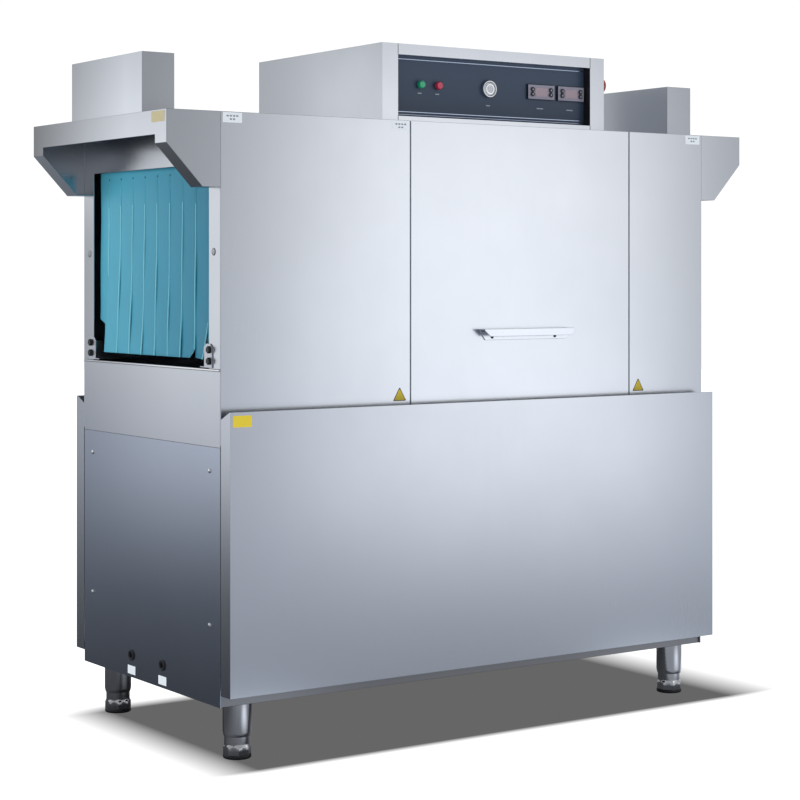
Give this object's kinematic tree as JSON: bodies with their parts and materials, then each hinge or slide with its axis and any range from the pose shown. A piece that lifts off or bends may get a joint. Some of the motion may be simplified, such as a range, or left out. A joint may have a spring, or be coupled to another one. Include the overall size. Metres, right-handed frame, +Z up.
{
  "type": "commercial dishwasher",
  "caption": "Rack-conveyor dishwasher: a stainless tunnel with strip curtains, hooded ends with vents, a lift-up door, and a control box on its roof.",
  "frame": {"origin": "on the floor, under the middle of the cabinet", "axes": "+X along the travel of the racks, from entry to exit; the front with the door and controls faces -Y; +Z up"},
  "size_m": [1.67, 0.759, 1.61],
  "materials": {
    "steel": "fine vertical brushing, satin",
    "foot": "turned steel, satin",
    "handle": "brushed, satin",
    "rod": "bright",
    "chrome": "polished",
    "dark_steel": "oiled",
    "panel": "matt, dark blue grey",
    "green": "gloss",
    "red": "gloss",
    "lens": "translucent white",
    "bezel": "matt black",
    "key": "matt black",
    "curtain": "flexible turquoise vinyl, satin",
    "casting": "machine enamel"
  },
  "bodies": {
    "cabinet": {"leg_entry_front": "steel", "leg_entry_rear": "steel", "leg_exit_front": "steel", "leg_exit_rear": "steel", "base_sill_front": "steel", "base_sill_rear": "steel", "entry_lower_panel": "steel", "entry_middle_panel": "steel", "entry_frame": "steel", "exit_lower_panel": "steel", "exit_middle_panel": "steel", "exit_frame": "steel", "front_left_panel": "steel", "front_right_panel": "steel", "rear_panel": "steel", "roof": "steel", "hood_entry": "steel", "vent_entry": "steel", "hood_exit": "steel", "vent_exit": "steel", "control_box": "steel", "control_panel": "panel", "power_bezel": "chrome", "controller_1": "bezel", "controller_2": "bezel", "curtain_rod_entry": "rod", "curtain_rod_exit": "rod", "rack_rail_front": "rod", "rack_rail_rear": "rod", "drive_motor": "casting", "wash_tank": "steel", "deck": "steel", "wash_pump": "casting", "wash_arms": "rod", "rinse_arm": "rod"},
    "door": {"door": "steel", "door_handle": "handle"},
    "apron_front": {"apron_front": "steel"},
    "apron_rear": {"apron_rear": "steel"},
    "start_button": {"start_button": "green"},
    "stop_button": {"stop_button": "red"},
    "power_button": {"power_button": "lens"},
    "e_stop_button": {"e_stop_button": "red"},
    "curtain_entry": {"curtain_entry": "curtain"},
    "curtain_exit": {"curtain_exit": "curtain"},
    "pawl_bar": {"pawl_bar": "rod"},
    "pawl_1": {"pawl_1": "dark_steel"},
    "pawl_2": {"pawl_2": "dark_steel"},
    "drive_crank": {"drive_crank": "dark_steel"},
    "strainer": {"strainer": "steel"},
    "overflow_pipe": {"overflow_pipe": "rod"},
    "pump_impeller": {"pump_impeller": "rod"},
    "key_1_left": {"key_1_left": "key"},
    "key_1_right": {"key_1_right": "key"},
    "key_2_left": {"key_2_left": "key"},
    "key_2_right": {"key_2_right": "key"},
    "foot_entry_front": {"foot_entry_front": "foot"},
    "foot_entry_rear": {"foot_entry_rear": "foot"},
    "foot_exit_front": {"foot_exit_front": "foot"},
    "foot_exit_rear": {"foot_exit_rear": "foot"}
  },
  "joints": [
    {"name": "door_lift", "type": "slide", "parent": "cabinet", "child": "door", "axis": [0, 0, 1], "range_m": [0, 0.42]},
    {"name": "apron_front_pull", "type": "slide", "parent": "cabinet", "child": "apron_front", "axis": [0, -1, 0], "range_m": [0, 0.12]},
    {"name": "apron_rear_pull", "type": "slide", "parent": "cabinet", "child": "apron_rear", "axis": [0, 1, 0], "range_m": [0, 0.12]},
    {"name": "start_press", "type": "slide", "parent": "cabinet", "child": "start_button", "axis": [0, 1, 0], "range_m": [0, 0.003], "stiffness_N_per_m": 600},
    {"name": "stop_press", "type": "slide", "parent": "cabinet", "child": "stop_button", "axis": [0, 1, 0], "range_m": [0, 0.003], "stiffness_N_per_m": 600},
    {"name": "power_press", "type": "slide", "parent": "cabinet", "child": "power_button", "axis": [0, 1, 0], "range_m": [0, 0.0025], "stiffness_N_per_m": 600},
    {"name": "e_stop_press", "type": "slide", "parent": "cabinet", "child": "e_stop_button", "axis": [-1, 0, 0], "range_m": [0, 0.005]},
    {"name": "key_1_left_rock", "type": "hinge", "parent": "cabinet", "child": "key_1_left", "pos_m": [0.253, -0.213, 1.5175], "axis": [1, 0, 0], "range_deg": [-3, 3], "stiffness_Nm_per_rad": 0.3},
    {"name": "key_1_right_rock", "type": "hinge", "parent": "cabinet", "child": "key_1_right", "pos_m": [0.311, -0.213, 1.5175], "axis": [1, 0, 0], "range_deg": [-3, 3], "stiffness_Nm_per_rad": 0.3},
    {"name": "key_2_left_rock", "type": "hinge", "parent": "cabinet", "child": "key_2_left", "pos_m": [0.3475, -0.213, 1.5175], "axis": [1, 0, 0], "range_deg": [-3, 3], "stiffness_Nm_per_rad": 0.3},
    {"name": "key_2_right_rock", "type": "hinge", "parent": "cabinet", "child": "key_2_right", "pos_m": [0.4055, -0.213, 1.5175], "axis": [1, 0, 0], "range_deg": [-3, 3], "stiffness_Nm_per_rad": 0.3},
    {"name": "curtain_entry_swing", "type": "hinge", "parent": "cabinet", "child": "curtain_entry", "pos_m": [-0.686, 0, 1.314], "axis": [0, 1, 0], "range_deg": [-50, 50]},
    {"name": "curtain_exit_swing", "type": "hinge", "parent": "cabinet", "child": "curtain_exit", "pos_m": [0.686, 0, 1.314], "axis": [0, 1, 0], "range_deg": [-50, 50]},
    {"name": "pawl_bar_stroke", "type": "slide", "parent": "cabinet", "child": "pawl_bar", "axis": [1, 0, 0], "range_m": [0, 0.1]},
    {"name": "pawl_1_tip", "type": "hinge", "parent": "pawl_bar", "child": "pawl_1", "pos_m": [-0.33, 0, 0.838], "axis": [0, 1, 0], "range_deg": [0, 40]},
    {"name": "pawl_2_tip", "type": "hinge", "parent": "pawl_bar", "child": "pawl_2", "pos_m": [0.15, 0, 0.838], "axis": [0, 1, 0], "range_deg": [0, 40]},
    {"name": "crank_turn", "type": "hinge", "parent": "cabinet", "child": "drive_crank", "pos_m": [0.585, 0, 0.7], "axis": [0, 0, 1], "continuous": true},
    {"name": "strainer_lift", "type": "slide", "parent": "cabinet", "child": "strainer", "axis": [0, 0, 1], "range_m": [0, 0.04]},
    {"name": "overflow_lift", "type": "slide", "parent": "cabinet", "child": "overflow_pipe", "axis": [0, 0, 1], "range_m": [0, 0.06]},
    {"name": "impeller_spin", "type": "hinge", "parent": "cabinet", "child": "pump_impeller", "pos_m": [-0.19, -0.25, 0.262], "axis": [1, 0, 0], "continuous": true},
    {"name": "foot_entry_front_screw", "type": "slide", "parent": "cabinet", "child": "foot_entry_front", "axis": [0, 0, -1], "range_m": [0, 0.025]},
    {"name": "foot_entry_rear_screw", "type": "slide", "parent": "cabinet", "child": "foot_entry_rear", "axis": [0, 0, -1], "range_m": [0, 0.025]},
    {"name": "foot_exit_front_screw", "type": "slide", "parent": "cabinet", "child": "foot_exit_front", "axis": [0, 0, -1], "range_m": [0, 0.025]},
    {"name": "foot_exit_rear_screw", "type": "slide", "parent": "cabinet", "child": "foot_exit_rear", "axis": [0, 0, -1], "range_m": [0, 0.025]}
  ]
}
